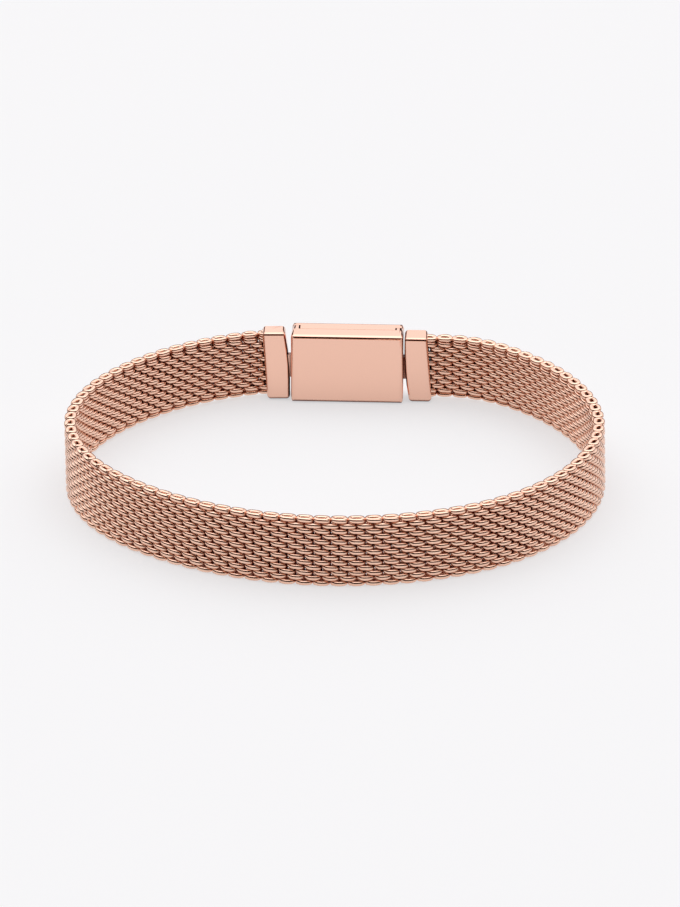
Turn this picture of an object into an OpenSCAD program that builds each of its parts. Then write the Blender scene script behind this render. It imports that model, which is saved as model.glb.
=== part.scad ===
// Woven wire mesh bracelet: a flexible band closed by a box clasp with a hinged lid.
// The band stands on its lower edge. The clasp is at the back, its plain inner face
// towards the wrist. The origin is on the surface, below the middle of the whole.

/* [Band] */
// Height of the woven band from edge to edge
band_w = 8.4; // [7.8:0.1:8.5]
// Thickness of the woven band
band_t = 1.55; // [1.3:0.05:1.7]
// Radius that rounds the long edges of the band
band_edge_r = 0.5; // [0.2:0.05:0.6]
// How far the band stands off the surface at the clasp
band_lift = 0.4; // [0.3:0.05:0.5]
// Radius of the short bend where the band leaves an end cap
root_r = 4; // [2:0.5:6]
// Angle of the short bend at the left cap
root_turn_left = 14; // [10:0.5:18]
// Angle of the short bend at the right cap, which swings the band outwards
root_swing_right = 5; // [2:0.5:8]
// Radius of the flat bend behind the left side
shoulder_r_left = 31.5; // [28:0.5:36]
// Angle of the flat bend behind the left side
shoulder_turn_left = 41; // [37:0.5:45]
// Radius of the bend behind the right side
shoulder_r_right = 14; // [12:0.5:16]
// Angle of the bend behind the right side
shoulder_turn_right = 39; // [36:0.5:43]
// Radius of the long bend of the left side
side_r_left = 24; // [22:0.5:25.5]
// Radius of the long bend of the right side
side_r_right = 27.5; // [25:0.5:29]
// Angle of the long bend of the right side
side_turn_right = 120.5; // [116:0.5:124]

/* [End caps] */
// Length of an end cap along the band
cap_l = 2.95; // [2.7:0.05:4]
// Thickness of an end cap
cap_t = 2.9; // [2.8:0.1:3.2]
// How much lower than the clasp an end cap is
cap_step = 0.15; // [0.1:0.05:0.2]
// Radius that rounds the edges of an end cap
cap_edge_r = 0.5; // [0.2:0.05:0.6]
// How far an end cap is set in from the middle of the band
cap_inset = 0.15; // [0:0.05:0.2]
// How far the band reaches into an end cap
cap_grip = 1.8; // [1:0.1:1.9]
// Angle that the left cap turns away from the line of the clasp
cap_yaw_left = 3; // [0:0.5:5]
// Slant of the left cap, which opens its gap to the clasp at the top
cap_slant_left = 3.4; // [1:0.1:5]
// Slant of the right cap, which opens its gap to the clasp at the bottom
cap_slant_right = 3.4; // [1:0.1:5]
// How far the middle of a cap's end bulges towards the clasp
cap_crown = 0.2; // [0.1:0.05:0.3]

/* [Clasp] */
// Length of the clasp box along the band
box_l = 14.3; // [13:0.1:18]
// Thickness of the clasp box, lid included
box_t = 4.5; // [4.4:0.1:5.5]
// Height of the clasp box
box_h = 9.3; // [9.2:0.1:11]
// Radius of the edges and corners of the inner face
box_edge_r = 0.55; // [0.2:0.05:0.65]
// Thickness of the inner wall of the box
floor_t = 0.9; // [0.7:0.05:1.1]
// Thickness of the side walls of the box and of the lid's skirts
wall_t = 0.7; // [0.5:0.05:0.9]
// Length of the raised block at each end of the box
block_l = 0.9; // [0.8:0.05:1.2]
// Height of the side walls as a share of the thickness of the box
wall_share = 0.5; // [0.48:0.01:0.54]
// Height of the end blocks as a share of the thickness of the box
block_share = 0.75; // [0.72:0.01:0.78]

/* [Hinge] */
// Radius of the knuckles, which is also that of the outer corners of the clasp
knuckle_r = 0.75; // [0.65:0.05:0.85]
// Radius of the hinge pin
pin_r = 0.3; // [0.25:0.05:0.35]
// Height of each knuckle of the lid
cheek_h = 1.2; // [1:0.05:1.6]
// Metal that hides each end of the hinge pin
pin_skin = 0.4; // [0.3:0.05:0.5]

/* [Tongues] */
// Height of a tongue
tongue_h = 3; // [2.8:0.1:4]
// Thickness of a tongue
tongue_t = 0.9; // [0.7:0.05:1]
// How far a tongue reaches into the box
tongue_reach = 4; // [3.8:0.1:5.2]
// Radius of the post that holds a tongue
post_r = 0.8; // [0.6:0.05:0.9]

/* [Clearances] */
// Gap round the band in an end cap
band_gap = 0.08; // [0.05:0.01:0.1]
// Least gap between an end cap and the box
cap_gap = 0.12; // [0.1:0.01:0.3]
// Gap at the seam between lid and box
seam_gap = 0.08; // [0.06:0.01:0.12]
// Gap between the ends of the lid's skirts and the end blocks
notch_gap = 0.18; // [0.16:0.01:0.25]
// Gap round the knuckles
knuckle_gap = 0.1; // [0.08:0.01:0.15]
// Radial clearance of the hinge pin in its bores
pin_gap = 0.05; // [0.03:0.01:0.08]
// Gap round a tongue and its post
tongue_gap = 0.15; // [0.1:0.01:0.2]

/* [Hidden] */
$fn = 64;

// Cutting shapes run past the faces that they cut by this much
past = 1;

// How far the band's top leans inwards, by its heading round the loop
band_lean = [[0, 4], [45, 5], [90, 2], [135, 4], [180, 4], [225, 6], [270, -0.5], [315, -1.5], [360, -1.5]];
lean_left = lookup(360 - cap_yaw_left, band_lean);
lean_right = lookup(0, band_lean);

// The band's path is drawn from the middle of the clasp. Headings are measured from +X towards
// -Y. The left half is drawn as if it were on the right and mirrored afterwards.
// The band starts to bend just inside the mouth of each cap.
cap_h = box_h - cap_step;
mouth = 0.15;
cap_x_left = cap_start(cap_slant_left, cap_yaw_left);
cap_x_right = cap_start(cap_slant_right, 0);
cap_end_left = [cap_x_left, 0] + (cap_l - mouth) * along(cap_yaw_left);
cap_end_right = [cap_x_right, 0] + (cap_l - mouth) * along(0);

root_heading_left = cap_yaw_left + root_turn_left;
root_end_left = bend_end(cap_end_left, root_r, cap_yaw_left, root_heading_left);
shoulder_heading_left = root_heading_left + shoulder_turn_left;
shoulder_end_left = bend_end(root_end_left, shoulder_r_left, root_heading_left, shoulder_heading_left);
side_centre_left = bend_centre(shoulder_end_left, side_r_left, shoulder_heading_left);

root_heading_right = -root_swing_right;
root_end_right = bend_end(cap_end_right, -root_r, 0, root_heading_right);
shoulder_heading_right = root_heading_right + shoulder_turn_right;
shoulder_end_right = bend_end(root_end_right, shoulder_r_right, root_heading_right, shoulder_heading_right);
side_heading_right = shoulder_heading_right + side_turn_right;
side_end_right = bend_end(shoulder_end_right, side_r_right, shoulder_heading_right, side_heading_right);

// The front is one arc: it carries on from the right side and touches the left side's circle
inwards = -outwards(side_heading_right);
reach = side_end_right - [-side_centre_left[0], side_centre_left[1]];
front_r = (side_r_left * side_r_left - reach * reach) / (2 * (reach * inwards + side_r_left));
front_centre = side_end_right + front_r * inwards;
side_heading_left = atan2(side_centre_left[0] + front_centre[0], side_centre_left[1] - front_centre[1]);
front_y = front_centre[1] - front_r;

// The band stands on the lowest line of its section at the front and tips about that line,
// which lifts its ends into the caps
rest_lean = lookup(180, band_lean);
rest_inset = sign(rest_lean) * (band_t / 2 - band_edge_r) * cos(rest_lean) + band_edge_r * sin(rest_lean);
rest_line = front_y + rest_inset;
band_tilt = asin(band_lift / -rest_line);

// The band's line from inside the right cap round to inside the left one. Each station is
// a point of the middle line and the heading there.
root_steps = 3;
right_line = concat(
    [[cap_end_right - cap_grip * along(0), 0], [cap_end_right, 0]],
    bend_stations(cap_end_right, -root_r, 0, root_heading_right, root_steps),
    bend_stations(root_end_right, shoulder_r_right, root_heading_right, shoulder_heading_right, 10),
    bend_stations(shoulder_end_right, side_r_right, shoulder_heading_right, side_heading_right, 28),
    bend_stations(side_end_right, front_r, side_heading_right, 360 - side_heading_left, 16));
left_line = concat(
    [[cap_end_left - cap_grip * along(cap_yaw_left), cap_yaw_left], [cap_end_left, cap_yaw_left]],
    bend_stations(cap_end_left, root_r, cap_yaw_left, root_heading_left, root_steps),
    bend_stations(root_end_left, shoulder_r_left, root_heading_left, shoulder_heading_left, 9),
    bend_stations(shoulder_end_left, side_r_left, shoulder_heading_left, side_heading_left, 20));
band_line = concat(right_line, [for (i = [len(left_line) - 2 : -1 : 0]) mirrored(left_line[i])]);

// The band's upright section, as steps out from the middle line and up
corner_steps = 2;
band_section = [for (corner = [0 : 3]) for (i = [0 : corner_steps])
    corner_point(corner, corner * 90 + i * 90 / corner_steps)];
band_points = [for (station = band_line) for (point = band_section) placed(station, point)];

// The clasp's place, which puts the origin below the middle of the whole
clasp_x = -(min([for (point = band_points) point[0]]) + max([for (point = band_points) point[0]])) / 2;
band_front = min([for (point = band_points)
    rest_line + (point[1] - rest_line) * cos(band_tilt) - point[2] * sin(band_tilt)]);
back_y = -(band_front + box_t / 2) / 2;

// Heights in the thickness of the box, from its inner face outwards
wall_top = box_t * wall_share;
block_top = box_t * block_share;
pin_y = box_t - knuckle_r;
pin_x = box_l / 2 - knuckle_r;
tongue_y = floor_t + tongue_gap;
tongue_mid = band_lift + band_w / 2;
post_x = box_l / 2 - tongue_reach + tongue_h / 2;
post_top = block_top - seam_gap - tongue_gap;

band_tone = [0.80, 0.55, 0.46];
cap_tone = [0.90, 0.68, 0.58];
base_tone = [0.91, 0.69, 0.59];
lid_tone = [0.88, 0.65, 0.55];
pin_tone = [0.70, 0.55, 0.48];

function along(heading) = [cos(heading), -sin(heading)];
function outwards(heading) = [sin(heading), cos(heading)];
function bend_centre(start, r, heading) = start - r * outwards(heading);
function bend_end(start, r, from, to) = bend_centre(start, r, from) + r * outwards(to);
function bend_stations(start, r, from, to, steps) = [for (i = [1 : steps])
    let (heading = from + (to - from) * i / steps) [bend_end(start, r, from, heading), heading]];
function mirrored(station) = [[-station[0][0], station[0][1]], 360 - station[1]];

// How far the end of a cap slants in or out over half its height
function slant_run(slant) = cap_h / 2 * tan(slant);

// Where a cap starts: its slanted and bulging end clears the box by the least gap
function cap_start(slant, yaw) =
    let (run = slant_run(slant), bulge = run < 2 * cap_crown ? cap_crown + run * run / 4 / cap_crown : run)
    box_l / 2 + cap_gap + bulge + cap_t / 2 * sin(yaw);

// A point on the rounding of one corner of the band's section, corners taken in turn from high outer
function corner_point(corner, angle) =
    let (out = corner == 0 || corner == 3 ? 1 : -1, up = corner < 2 ? 1 : 0)
    [out * (band_t / 2 - band_edge_r) + band_edge_r * cos(angle),
     up * band_w + (1 - 2 * up) * band_edge_r + band_edge_r * sin(angle)];

// How far a leaning section with rounded edges is raised to keep its lowest point on the surface
function rise(thickness, edge_r, lean) = edge_r * (1 - cos(lean)) + (thickness / 2 - edge_r) * abs(sin(lean));

// A point of the section, leaning and placed at a station of the path
function placed(station, point) =
    let (lean = lookup(station[1], band_lean),
         out = point[0] * cos(lean) - point[1] * sin(lean),
         up = point[1] * cos(lean) + point[0] * sin(lean) + rise(band_t, band_edge_r, lean),
         place = station[0] + out * outwards(station[1]))
    [place[0], place[1], up];

// A flat rectangle with its own radius at each corner: low left, low right, high right, high left
module rounded_plate(size, radii) {
    difference() {
        square(size);
        rounding(radii[0]);
        translate([size[0], 0]) rotate(90) rounding(radii[1]);
        translate(size) rotate(180) rounding(radii[2]);
        translate([0, size[1]]) rotate(270) rounding(radii[3]);
    }
}

// What a rounded corner takes off a square one
module rounding(r) {
    difference() {
        translate([-past, -past]) square(r + past);
        translate([r, r]) circle(r);
        translate([r, r]) rotate(180) translate([-past, 0]) square([past, r + past + past]);
        translate([r, r]) rotate(180) translate([0, -past]) square([r + past + past, past]);
    }
}

// A block with rounded edges, from the origin to size: radii as seen from above,
// from the end and from its face
module rounded_block(size, plan_r, end_r, face_r) {
    intersection() {
        linear_extrude(size[2]) rounded_plate([size[0], size[1]], plan_r);
        rotate([90, 0, 90]) linear_extrude(size[0]) rounded_plate([size[1], size[2]], end_r);
        translate([0, size[1], 0]) rotate([90, 0, 0]) linear_extrude(size[1])
            rounded_plate([size[0], size[2]], face_r);
    }
}

// Puts a right-hand shape, drawn from the middle of the clasp, at its place on one side
module on_side(side) {
    translate([clasp_x, back_y, 0]) mirror([side < 0 ? 1 : 0, 0, 0]) children();
}

// Tips what belongs to the band about its resting line
module tipped() {
    translate([0, back_y + rest_line, 0]) rotate([band_tilt, 0, 0])
        translate([0, -back_y - rest_line, 0]) children();
}

// Moves a shape drawn along +X from the start of a cap into the cap's line
module in_cap_line(start, yaw) {
    translate([start, 0, 0]) rotate([0, 0, -yaw]) children();
}

// The band is one solid, swept along its path with a lean that changes on the way
module mesh_band() {
    n = len(band_section);
    last = len(band_line) - 1;
    sides = [for (s = [0 : last - 1]) for (i = [0 : n - 1]) for (half = [0, 1])
        let (a = s * n + i, b = s * n + (i + 1) % n) half == 0 ? [a, b, b + n] : [a, b + n, a + n]];
    first_end = [for (i = [n - 1 : -1 : 0]) i];
    last_end = [for (i = [0 : n - 1]) last * n + i];
    color(band_tone) tipped() translate([clasp_x, back_y, 0])
        polyhedron(band_points, concat(sides, [first_end, last_end]), convexity = 4);
}

// The pocket that takes the end of the band
module band_pocket(lean) {
    translate([cap_l - mouth - cap_grip - band_gap, 0, rise(band_t, band_edge_r, lean)]) rotate([lean, 0, 0])
        translate([0, -band_t / 2 - band_gap, -band_gap])
            cube([cap_grip + band_gap + past, band_t + 2 * band_gap, band_w + 2 * band_gap]);
}

// The block of a cap: rounded, slanted, leaning like the band, and bulging at the clasp.
// The run is how far its top half slants away from the clasp.
module cap_block(run, lean) {
    r = cap_edge_r;
    bulging_end = [for (level = [-1 : 0.5 : 1]) [level, r - cap_crown * (1 - level * level)]];
    band_end = [[-1, cap_l - r], [1, cap_l - r]];
    translate([0, 0, rise(cap_t + 2 * cap_inset, r, lean)]) rotate([lean, 0, 0]) hull()
        for (spot = concat(bulging_end, band_end)) for (y = [r - cap_t / 2, cap_t / 2 - r])
            translate([spot[1] + run * spot[0], y - cap_inset, cap_h / 2 + spot[0] * (cap_h / 2 - r)])
                sphere(r, $fn = 16);
}

// The flat tongue of a cap, which lies in the box over a post
module tongue(start) {
    length = start + cap_edge_r + 0.25 - post_x;
    translate([0, tongue_y - box_t / 2, tongue_mid]) rotate([-90, 0, 0]) difference() {
        union() {
            translate([post_x, 0, 0]) cylinder(r = tongue_h / 2, h = tongue_t);
            translate([post_x, -tongue_h / 2, 0]) cube([length, tongue_h, tongue_t]);
        }
        translate([post_x, 0, -past]) cylinder(r = post_r + tongue_gap, h = tongue_t + 2 * past);
    }
}

module end_cap(side, start, yaw, run, lean) {
    color(cap_tone) difference() {
        on_side(side) union() {
            in_cap_line(start, yaw) cap_block(run, lean);
            tongue(start);
        }
        tipped() on_side(side) in_cap_line(start, yaw) band_pocket(lean);
    }
}

module end_cap_left() {
    end_cap(-1, cap_x_left, cap_yaw_left, slant_run(cap_slant_left), lean_left);
}

module end_cap_right() {
    end_cap(1, cap_x_right, 0, -slant_run(cap_slant_right), lean_right);
}

// Draws the clasp from the left end of its inner face
module in_box() {
    translate([clasp_x - box_l / 2, back_y - box_t / 2, 0]) children();
}

// The outer form of the closed clasp
module clasp_form() {
    edge = [box_edge_r, box_edge_r, box_edge_r, box_edge_r];
    rounded_block([box_l, box_t, box_h], [box_edge_r, box_edge_r, knuckle_r, knuckle_r], edge, edge);
}

// A slice of the clasp between two lengths, two depths and two heights
module slice(x, y, z) {
    translate([x[0], y[0], z[0]]) cube([x[1] - x[0], y[1] - y[0], z[1] - z[0]]);
}

// A cylinder round the hinge line
module hinge_round(r, z) {
    translate([box_l / 2 + pin_x, pin_y, z[0]]) cylinder(r = r, h = z[1] - z[0]);
}

// The tray of the clasp: inner wall, low side walls, raised end blocks, knuckle and two posts
module clasp_base() {
    knuckle_z = [cheek_h + knuckle_gap, box_h - cheek_h - knuckle_gap];
    slot_z = [tongue_mid - tongue_h / 2 - tongue_gap, tongue_mid + tongue_h / 2 + tongue_gap];
    slot_y = [floor_t, tongue_y + tongue_t + tongue_gap];
    right = box_l - block_l;
    color(base_tone) in_box() difference() {
        union() {
            difference() {
                intersection() {
                    clasp_form();
                    union() {
                        slice([-past, box_l + past], [-past, wall_top], [-past, box_h + past]);
                        slice([-past, block_l], [0, block_top], [-past, box_h + past]);
                        slice([right, box_l + past], [0, block_top], [-past, box_h + past]);
                    }
                }
                slice([block_l, right], [floor_t, box_t], [wall_t, box_h - wall_t]);
                hinge_round(knuckle_r + knuckle_gap, [-past, cheek_h + knuckle_gap]);
                hinge_round(knuckle_r + knuckle_gap, [box_h - cheek_h - knuckle_gap, box_h + past]);
                slice([-past, block_l + past], [floor_t, box_t], slot_z);
                slice([right - past, box_l + past], slot_y, slot_z);
            }
            hinge_round(knuckle_r, knuckle_z);
            slice([right, box_l - seam_gap], [slot_y[1], pin_y], knuckle_z);
            for (x = [box_l / 2 - post_x, box_l / 2 + post_x])
                translate([x, floor_t / 2, tongue_mid]) rotate([-90, 0, 0])
                    cylinder(r = post_r, h = post_top - floor_t / 2);
        }
        hinge_round(pin_r + pin_gap, [-past, box_h + past]);
    }
}

// The lid: outer plate, two side skirts between the end blocks, and two knuckles
module clasp_lid() {
    skirt = [block_l + notch_gap, box_l - block_l - notch_gap];
    knuckle_z = [cheek_h, box_h - cheek_h];
    color(lid_tone) in_box() difference() {
        intersection() {
            clasp_form();
            union() {
                slice([-past, box_l / 2 + pin_x], [block_top + seam_gap, box_t + past], [-past, box_h + past]);
                difference() {
                    slice(skirt, [wall_top + seam_gap, box_t], [-past, box_h + past]);
                    slice([0, box_l], [0, block_top + seam_gap], [wall_t, box_h - wall_t]);
                }
                hinge_round(knuckle_r, [-past, box_h + past]);
            }
        }
        hinge_round(knuckle_r + knuckle_gap, knuckle_z);
        slice([box_l / 2 + pin_x, box_l + past], [0, box_t + past], knuckle_z);
        hinge_round(pin_r + pin_gap, [pin_skin - pin_gap, box_h - pin_skin + pin_gap]);
    }
}

module hinge_pin() {
    color(pin_tone) in_box() hinge_round(pin_r, [pin_skin, box_h - pin_skin]);
}

mesh_band();
end_cap_left();
end_cap_right();
clasp_base();
clasp_lid();
hinge_pin();
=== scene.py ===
import math

import bmesh
import bpy
from mathutils import Matrix, Vector


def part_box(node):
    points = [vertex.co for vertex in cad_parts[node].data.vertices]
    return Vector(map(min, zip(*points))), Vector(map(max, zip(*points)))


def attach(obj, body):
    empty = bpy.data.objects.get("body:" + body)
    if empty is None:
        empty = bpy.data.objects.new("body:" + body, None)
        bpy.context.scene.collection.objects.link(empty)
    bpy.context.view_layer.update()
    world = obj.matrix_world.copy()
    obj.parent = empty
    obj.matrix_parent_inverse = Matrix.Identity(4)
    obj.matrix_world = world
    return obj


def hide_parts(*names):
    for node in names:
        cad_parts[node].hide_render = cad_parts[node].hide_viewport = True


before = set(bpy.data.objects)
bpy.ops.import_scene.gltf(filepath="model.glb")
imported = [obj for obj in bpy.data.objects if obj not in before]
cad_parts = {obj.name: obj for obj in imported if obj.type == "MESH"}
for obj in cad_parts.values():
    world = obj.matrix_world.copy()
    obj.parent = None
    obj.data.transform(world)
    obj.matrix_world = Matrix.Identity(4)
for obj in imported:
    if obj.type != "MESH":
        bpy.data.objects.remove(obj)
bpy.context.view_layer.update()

# The view
# The bracelet is seen from the front and above, a little to the right of the clasp's
# middle, from half a metre away through a long lens.
camera_distance = 0.5084
camera_elevation = math.radians(24.93)
camera_azimuth = math.radians(2.56)
camera_aim = Vector((0.0002, 0.0079, 0.0003))
camera_lens = 162.5

camera = bpy.data.objects.new("camera", bpy.data.cameras.new("camera"))
bpy.context.scene.collection.objects.link(camera)
camera.data.lens = camera_lens
camera.data.sensor_width = 36.0
camera.data.clip_start = 0.01
camera.data.clip_end = 50.0
camera_offset = Vector((
    math.sin(camera_azimuth) * math.cos(camera_elevation),
    -math.cos(camera_azimuth) * math.cos(camera_elevation),
    math.sin(camera_elevation)))
camera.location = camera_aim + camera_distance * camera_offset
camera.rotation_euler = (-camera_offset).to_track_quat("-Z", "Y").to_euler()
bpy.context.scene.camera = camera
bpy.context.scene.view_settings.view_transform = "Standard"


# The surface and the light
# A plain white sweep under a soft white studio. The room is dark low down all round and up
# behind the camera, which draws the dark lines along the metal's edges. It is brightest overhead.
def softened(tree, source, middle, half_width):
    """A soft step of a value from 0 to 1."""
    step = tree.nodes.new("ShaderNodeMapRange")
    step.interpolation_type = "SMOOTHSTEP"
    step.inputs["From Min"].default_value = middle - half_width
    step.inputs["From Max"].default_value = middle + half_width
    tree.links.new(source, step.inputs["Value"])
    return step.outputs[0]


floor_half_side = 6.0
floor_mesh = bpy.data.meshes.new("floor")
floor_bm = bmesh.new()
bmesh.ops.create_grid(floor_bm, x_segments=1, y_segments=1, size=floor_half_side)
floor_bm.to_mesh(floor_mesh)
floor_bm.free()
floor = bpy.data.objects.new("floor", floor_mesh)
bpy.context.scene.collection.objects.link(floor)
floor_paper = bpy.data.materials.new("floor_paper")
floor_paper.use_nodes = True
paper_shader = floor_paper.node_tree.nodes["Principled BSDF"]
paper_shader.inputs["Base Color"].default_value = (0.34, 0.342, 0.346, 1.0)
paper_shader.inputs["Roughness"].default_value = 0.9
paper_shader.inputs["Emission Color"].default_value = (1.0, 0.994, 1.006, 1.0)
paper_shader.inputs["Emission Strength"].default_value = 0.572
floor_mesh.materials.append(floor_paper)

card_slope = (0.0, 0.73, 1.0)
card_edge = 0.56
card_softness = 0.03
rim_height = 0.27
rim_softness = 0.05
dark_tone = 0.04
low_sky_tone = 1.2
overhead_tone = 1.9
dark_color = (1.0, 0.5, 0.35, 1.0)
sky_color = (1.0, 0.995, 1.005, 1.0)

studio = bpy.data.worlds.new("studio")
bpy.context.scene.world = studio
studio.use_nodes = True
sky = studio.node_tree
sky.nodes.clear()
direction = sky.nodes.new("ShaderNodeTexCoord")
parts = sky.nodes.new("ShaderNodeSeparateXYZ")
sky.links.new(direction.outputs["Generated"], parts.inputs[0])
card_rise = sky.nodes.new("ShaderNodeVectorMath")
card_rise.operation = "DOT_PRODUCT"
card_rise.inputs[1].default_value = card_slope
sky.links.new(direction.outputs["Generated"], card_rise.inputs[0])
above_card = softened(sky, card_rise.outputs["Value"], card_edge, card_softness)
above_rim = softened(sky, parts.outputs["Z"], rim_height, rim_softness)
lit = sky.nodes.new("ShaderNodeMath")
lit.operation = "MINIMUM"
sky.links.new(above_card, lit.inputs[0])
sky.links.new(above_rim, lit.inputs[1])
overhead = sky.nodes.new("ShaderNodeMapRange")
overhead.inputs["From Min"].default_value = 0.55
overhead.inputs["From Max"].default_value = 0.95
overhead.inputs["To Min"].default_value = low_sky_tone
overhead.inputs["To Max"].default_value = overhead_tone
sky.links.new(parts.outputs["Z"], overhead.inputs["Value"])
sky_tone = sky.nodes.new("ShaderNodeMapRange")
sky_tone.inputs["To Min"].default_value = dark_tone
sky.links.new(overhead.outputs[0], sky_tone.inputs["To Max"])
sky.links.new(lit.outputs[0], sky_tone.inputs["Value"])
glow = sky.nodes.new("ShaderNodeBackground")
sky.links.new(sky_tone.outputs[0], glow.inputs["Strength"])
sky_tint = sky.nodes.new("ShaderNodeMix")
sky_tint.data_type = "RGBA"
sky_tint.inputs["A"].default_value = dark_color
sky_tint.inputs["B"].default_value = sky_color
sky.links.new(lit.outputs[0], sky_tint.inputs["Factor"])
sky.links.new(sky_tint.outputs["Result"], glow.inputs["Color"])
sky_out = sky.nodes.new("ShaderNodeOutputWorld")
sky.links.new(glow.outputs[0], sky_out.inputs[0])


# Woven band
# Flat coils of plated wire stand side by side along the band, each hooked into the next and
# half a turn higher or lower. Every second coil is closed into a flat ring at both edges. The
# whole mesh is rolled, which flattens the wire where it stands out.
wire_d = 0.00062
band_height = 0.0084
band_thickness = 0.00155
band_lift = 0.0004
face_rolled_off = 0.00004
edge_rolled_off = 0.0001
half_rows = 12
ring_rise = 0.00006
coil_pitch = 2 * (band_height + 2 * edge_rolled_off - wire_d - 2 * ring_rise) / half_rows
coil_half_depth = (band_thickness - wire_d) / 2 + face_rolled_off
ring_half_depth = 0.00040
coil_half_width = 0.00083
ring_half_width = 0.00072
coil_squareness = 2.4
ring_squareness = 3.2
coil_levelness = 0.9
coil_spacing = 0.001014
wire_roundness = 4
turn_steps = 18
ring_turn = math.radians(315)
ring_ease_turn = 1.0
tuck_turn = math.radians(110)

clasp_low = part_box("clasp_base")[0]
clasp_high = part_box("clasp_lid")[1]
clasp_mid = (clasp_low + clasp_high) / 2
cap_grip = 0.0018
root_r = 0.004
right_start = (0.010362, 0.0)
right_heading = 0.0
left_start = (0.010434, -0.000147)
left_heading = math.radians(3)
right_bends = ((-root_r, -5), (0.014, 39), (0.0275, 120.5))
left_bends = ((root_r, 14), (0.0315, 41))
left_side_r = 0.024
lean_step = math.radians(45)
band_lean = [math.radians(lean) for lean in (4, 5, 2, 4, 4, 6, -0.5, -1.5, -1.5)]


def bend(point, heading, radius, turn):
    """The point and heading at the end of a bend. Headings go from +X towards -Y."""
    to = heading + turn
    return (point[0] + radius * (math.sin(to) - math.sin(heading)),
            point[1] - radius * (math.cos(heading) - math.cos(to))), to


def followed(point, heading, bends):
    """The bends, each with its start, and where the last one ends."""
    steps = []
    for radius, degrees in bends:
        turn = math.radians(degrees)
        steps.append((point, heading, radius, turn))
        point, heading = bend(point, heading, radius, turn)
    return steps, Vector(point), heading


right_steps, right_end, right_end_heading = followed(right_start, right_heading, right_bends)
left_steps, left_end, left_end_heading = followed(left_start, left_heading, left_bends)
left_centre = left_end - left_side_r * Vector((math.sin(left_end_heading), math.cos(left_end_heading)))
inwards = -Vector((math.sin(right_end_heading), math.cos(right_end_heading)))
reach = right_end - Vector((-left_centre.x, left_centre.y))
front_r = (left_side_r ** 2 - reach.dot(reach)) / (2 * (reach.dot(inwards) + left_side_r))
front_centre = right_end + front_r * inwards
left_side_heading = math.atan2(left_centre.x + front_centre.x, left_centre.y - front_centre.y)
left_steps.append((left_end, left_end_heading, left_side_r, left_side_heading - left_end_heading))
front_turn = 2 * math.pi - left_side_heading - right_end_heading
right_steps.append((right_end, right_end_heading, front_r, front_turn))
right_length = sum(radius * turn for _, _, radius, turn in right_steps) + cap_grip
left_length = sum(radius * turn for _, _, radius, turn in left_steps) + cap_grip


def half_place(distance, start, start_heading, steps):
    """A point and heading at a distance along one half of the band, from inside its cap."""
    left = distance - cap_grip
    point = (start[0] + left * math.cos(start_heading), start[1] - left * math.sin(start_heading))
    heading = start_heading
    for bend_start, bend_heading, radius, turn in steps:
        if left > 0:
            point, heading = bend(bend_start, bend_heading, radius, min(left / radius, turn, key=abs))
        left -= radius * turn
    return point, heading


def band_place(distance):
    """A point of the band's middle line and its heading, from the right cap round to the left."""
    if distance <= right_length:
        (x, y), heading = half_place(distance, right_start, right_heading, right_steps)
        return Vector((clasp_mid.x + x, clasp_mid.y + y, 0)), heading
    from_left = right_length + left_length - distance
    (x, y), heading = half_place(from_left, left_start, left_heading, left_steps)
    return Vector((clasp_mid.x - x, clasp_mid.y + y, 0)), 2 * math.pi - heading


def lean_at(heading):
    """How far the band's top leans inwards, between the values at every 45 degrees."""
    step = min(max(heading / lean_step, 0), len(band_lean) - 1)
    low = min(int(step), len(band_lean) - 2)
    return band_lean[low] + (band_lean[low + 1] - band_lean[low]) * (step - low)


edge_r = 0.0005
rest_lean = lean_at(math.pi)
rest_y = (clasp_mid.y + front_centre.y - front_r
          + (band_thickness / 2 - edge_r) * math.cos(rest_lean) + edge_r * math.sin(rest_lean))
band_tilt = math.asin(band_lift / (clasp_mid.y - rest_y))
tip_band = (Matrix.Translation((0, rest_y, 0)) @ Matrix.Rotation(band_tilt, 4, "X")
            @ Matrix.Translation((0, -rest_y, 0)))


def band_matrix(distance):
    """Places a coil drawn along X, out along Y and up along Z on the band."""
    place, heading = band_place(distance)
    lean = lean_at(heading)
    rise = edge_r * (1 - math.cos(lean)) + (band_thickness / 2 - edge_r) * abs(math.sin(lean))
    return (tip_band @ Matrix.Translation(place + Vector((0, 0, rise)))
            @ Matrix.Rotation(-heading, 4, "Z") @ Matrix.Rotation(lean, 4, "X"))


def rounded(value, power):
    """A value raised to a power with its sign kept, which squares off a circle's sine and cosine."""
    return math.copysign(abs(value) ** power, value)


def coil_points(ringed):
    """The middle of one coil's wire: steps along the band, out from it and up, and how open it lies,
    which sets the wire's painted shade.
    """
    turns = half_rows // 2 if ringed else half_rows // 2 - 1
    tail = ring_turn if ringed else tuck_turn
    whole = turns * 2 * math.pi
    steps = round((whole + 2 * tail) / (2 * math.pi) * turn_steps)
    base_z = wire_d / 2 - edge_rolled_off + ring_rise + (0 if ringed else coil_pitch / 2)
    points = []
    for i in range(steps + 1):
        turned = -tail + (whole + 2 * tail) * i / steps
        climbed = min(max(turned, 0), whole)
        past = turned - climbed
        ease = min(abs(past) / ring_ease_turn, 1) if ringed else 0
        half_width = coil_half_width + (ring_half_width - coil_half_width) * ease
        half_depth = coil_half_depth + (ring_half_depth - coil_half_depth) * ease
        power = 2 / (coil_squareness + (ring_squareness - coil_squareness) * ease)
        depth = rounded(math.cos(turned), power)
        rise = coil_pitch / (2 * math.pi) * (climbed - coil_levelness / 2 * math.sin(2 * climbed))
        if ringed:
            rise += ring_rise * past / tail
        points.append((Vector((half_width * rounded(math.sin(turned), power),
                               half_depth * depth, base_z + rise)),
                       max(abs(depth), ease)))
    return points


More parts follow.
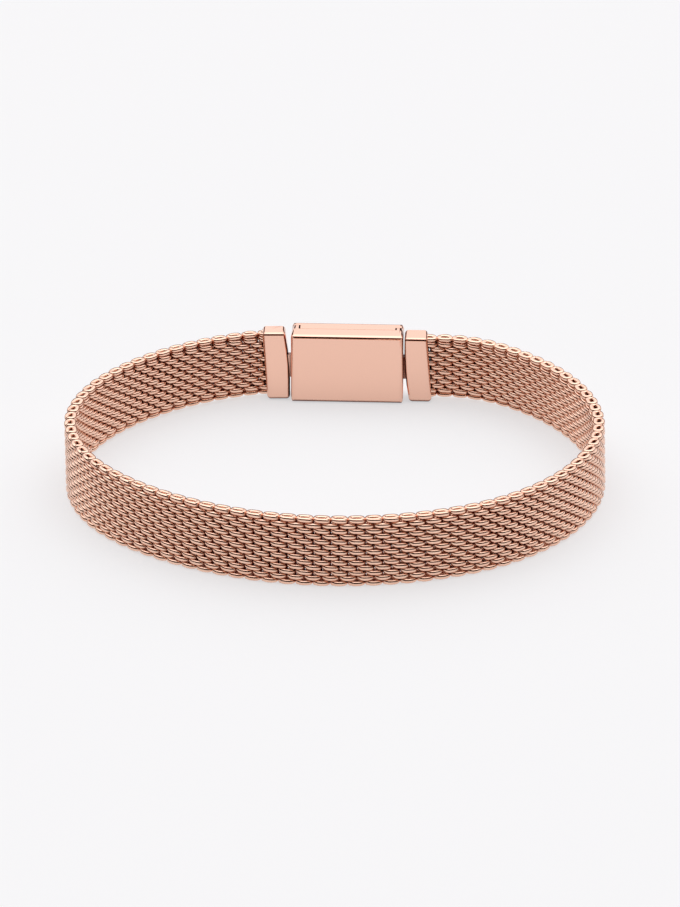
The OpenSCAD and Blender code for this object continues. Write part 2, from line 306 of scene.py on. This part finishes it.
def coil_mesh(name, ringed):
    """One coil of round wire, rolled flat on both faces, which keeps how open it lies for its painted
    shade.
    """
    strand = coil_points(ringed)
    data = bpy.data.curves.new(name, "CURVE")
    data.dimensions = "3D"
    data.twist_mode = "Z_UP"
    data.bevel_depth = wire_d / 2
    data.bevel_resolution = wire_roundness
    spline = data.splines.new("POLY")
    spline.points.add(len(strand) - 1)
    for point, (place, _) in zip(spline.points, strand):
        point.co = (*place, 1.0)
    drawn = bpy.data.objects.new(name, data)
    bpy.context.scene.collection.objects.link(drawn)
    bpy.context.view_layer.update()
    mesh = bpy.data.meshes.new_from_object(drawn.evaluated_get(bpy.context.evaluated_depsgraph_get()))
    bpy.data.objects.remove(drawn)
    sides = len(mesh.vertices) // len(strand)
    openness = mesh.attributes.new("openness", "FLOAT", "POINT")
    openness.data.foreach_set("value", [value for _, value in strand for _ in range(sides)])
    shape = bmesh.new()
    shape.from_mesh(mesh)
    bmesh.ops.holes_fill(shape, edges=shape.edges, sides=0)
    for vert in shape.verts:
        vert.co.y = min(max(vert.co.y, -band_thickness / 2), band_thickness / 2)
        vert.co.z = min(max(vert.co.z, 0), band_height)
    for face in shape.faces:
        face.smooth = True
    shape.to_mesh(mesh)
    shape.free()
    return mesh


def node_with(tree, kind, **values):
    """A new node of a tree with the given input values."""
    node = tree.nodes.new(kind)
    for name, value in values.items():
        node.inputs[name].default_value = value
    return node


woven_wire = bpy.data.materials.new("woven_wire")
woven_wire.use_nodes = True
tree = woven_wire.node_tree
shader = tree.nodes["Principled BSDF"]
shader.inputs["Metallic"].default_value = 1.0
spot = tree.nodes.new("ShaderNodeTexCoord")
tint = node_with(tree, "ShaderNodeTexNoise", Scale=900.0, Detail=2.0)
tree.links.new(spot.outputs["Object"], tint.inputs["Vector"])
tint_ramp = tree.nodes.new("ShaderNodeValToRGB")
tint_ramp.color_ramp.elements[0].position = 0.3
tint_ramp.color_ramp.elements[0].color = (0.92, 0.57, 0.43, 1.0)
tint_ramp.color_ramp.elements[1].position = 0.7
tint_ramp.color_ramp.elements[1].color = (0.97, 0.66, 0.51, 1.0)
tree.links.new(tint.outputs[0], tint_ramp.inputs[0])
lie = tree.nodes.new("ShaderNodeAttribute")
lie.attribute_name = "openness"
unshaded_wire = softened(tree, lie.outputs["Fac"], middle=0.55, half_width=0.25)
# Painted shade: the wire's colour turns dark red-brown where it dives deep into the band between the
# bars that stand out.
painted_recess_shade = tree.nodes.new("ShaderNodeMix")
painted_recess_shade.data_type = "RGBA"
painted_recess_shade.inputs["A"].default_value = (0.22, 0.04, 0.015, 1.0)
tree.links.new(unshaded_wire, painted_recess_shade.inputs["Factor"])
tree.links.new(tint_ramp.outputs[0], painted_recess_shade.inputs["B"])
tree.links.new(painted_recess_shade.outputs["Result"], shader.inputs["Base Color"])
polish = node_with(tree, "ShaderNodeTexNoise", Scale=3500.0, Detail=3.0)
tree.links.new(spot.outputs["Object"], polish.inputs["Vector"])
polish_range = tree.nodes.new("ShaderNodeMapRange")
polish_range.inputs["To Min"].default_value = 0.12
polish_range.inputs["To Max"].default_value = 0.24
tree.links.new(polish.outputs[0], polish_range.inputs["Value"])
tree.links.new(polish_range.outputs[0], shader.inputs["Roughness"])

band_length = right_length + left_length
coil_count = 2 * int((band_length - 2 * coil_half_width) / coil_spacing / 2) + 1
coil_margin = (band_length - (coil_count - 1) * coil_spacing) / 2
coils = [coil_mesh("ringed_coil", ringed=True), coil_mesh("plain_coil", ringed=False)]
band_pieces = 4
for part in range(band_pieces):
    shape = bmesh.new()
    for i in range(part * coil_count // band_pieces, (part + 1) * coil_count // band_pieces):
        placed = len(shape.verts)
        shape.from_mesh(coils[i % 2])
        shape.verts.ensure_lookup_table()
        bmesh.ops.transform(
            shape, matrix=band_matrix(coil_margin + i * coil_spacing), verts=shape.verts[placed:])
    mesh = bpy.data.meshes.new(f"woven_band_{part + 1}")
    shape.to_mesh(mesh)
    shape.free()
    mesh.materials.append(woven_wire)
    piece = bpy.data.objects.new(mesh.name, mesh)
    bpy.context.scene.collection.objects.link(piece)
    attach(piece, "band")
    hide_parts("mesh_band")


# End caps
# A polished block of plated metal is fixed on each end of the band, slanted where it faces the
# clasp. Its flat tongue goes into the clasp and lies over a post there.
rose_gold = (0.90, 0.555, 0.43, 1.0)
painted_gap_shade_color = (0.10, 0.02, 0.01, 1.0)
gap_shade_reach = 0.0006
soft_edge = 0.00007
sharp_angle = math.radians(35)
flat_angle = math.radians(1)
merge_distance = 0.000001


def polished(name, base_color):
    """Polished plated metal with faint marks of wear in its roughness, and painted shade deep in its
    gaps.
    """
    material = bpy.data.materials.new(name)
    material.use_nodes = True
    tree = material.node_tree
    shader = tree.nodes["Principled BSDF"]
    shader.inputs["Metallic"].default_value = 1.0
    # Painted shade: the metal's colour turns dark red-brown where nearby surfaces close it in, as in
    # seams and gaps between parts.
    gap_occlusion = node_with(tree, "ShaderNodeAmbientOcclusion", Distance=gap_shade_reach)
    gap_occlusion.samples = 6
    painted_gap_shade = tree.nodes.new("ShaderNodeMix")
    painted_gap_shade.data_type = "RGBA"
    painted_gap_shade.inputs["A"].default_value = painted_gap_shade_color
    painted_gap_shade.inputs["B"].default_value = base_color
    out_of_gap_shade = softened(tree, gap_occlusion.outputs["AO"], middle=0.7, half_width=0.2)
    tree.links.new(out_of_gap_shade, painted_gap_shade.inputs["Factor"])
    tree.links.new(painted_gap_shade.outputs["Result"], shader.inputs["Base Color"])
    spot = tree.nodes.new("ShaderNodeTexCoord")
    polish = node_with(tree, "ShaderNodeTexNoise", Scale=700.0, Detail=4.0)
    tree.links.new(spot.outputs["Object"], polish.inputs["Vector"])
    polish_range = tree.nodes.new("ShaderNodeMapRange")
    polish_range.inputs["To Min"].default_value = 0.05
    polish_range.inputs["To Max"].default_value = 0.14
    tree.links.new(polish.outputs[0], polish_range.inputs["Value"])
    tree.links.new(polish_range.outputs[0], shader.inputs["Roughness"])
    return material


def softened_copy(node, body, metal):
    """A piece in place of a CAD node: its faces made whole and its sharp edges softened."""
    shape = bmesh.new()
    shape.from_mesh(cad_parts[node].data)
    bmesh.ops.remove_doubles(shape, verts=shape.verts, dist=merge_distance)
    bmesh.ops.dissolve_limit(shape, angle_limit=flat_angle, verts=shape.verts, edges=shape.edges)
    bmesh.ops.recalc_face_normals(shape, faces=shape.faces)
    mesh = bpy.data.meshes.new(node + "_soft")
    shape.to_mesh(mesh)
    shape.free()
    mesh.polygons.foreach_set("use_smooth", [True] * len(mesh.polygons))
    mesh.materials.append(metal)
    piece = bpy.data.objects.new(node + "_soft", mesh)
    bpy.context.scene.collection.objects.link(piece)
    soften = piece.modifiers.new("soften", "BEVEL")
    soften.width = soft_edge
    soften.segments = 2
    soften.limit_method = "ANGLE"
    soften.angle_limit = sharp_angle
    even = piece.modifiers.new("even", "WEIGHTED_NORMAL")
    even.keep_sharp = True
    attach(piece, body)
    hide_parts(node)


cap_metal = polished("cap_metal", rose_gold)
softened_copy("end_cap_left", "band", cap_metal)
softened_copy("end_cap_right", "band", cap_metal)


# Clasp
# A tray of plated metal with a plain inner face towards the wrist, and a lid that forms the
# outer face. Both are polished all over, and the lid swings on the hinge pin.
clasp_metal = polished("clasp_metal", rose_gold)
softened_copy("clasp_base", "band", clasp_metal)
softened_copy("clasp_lid", "lid", clasp_metal)


# Hinge pin
# A plain bright metal pin in the bores of the knuckles of lid and tray. The lid's knuckles
# hide both its ends.
pin_metal = polished("pin_metal", (0.80, 0.60, 0.50, 1.0))
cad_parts["hinge_pin"].data.materials.clear()
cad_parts["hinge_pin"].data.materials.append(pin_metal)
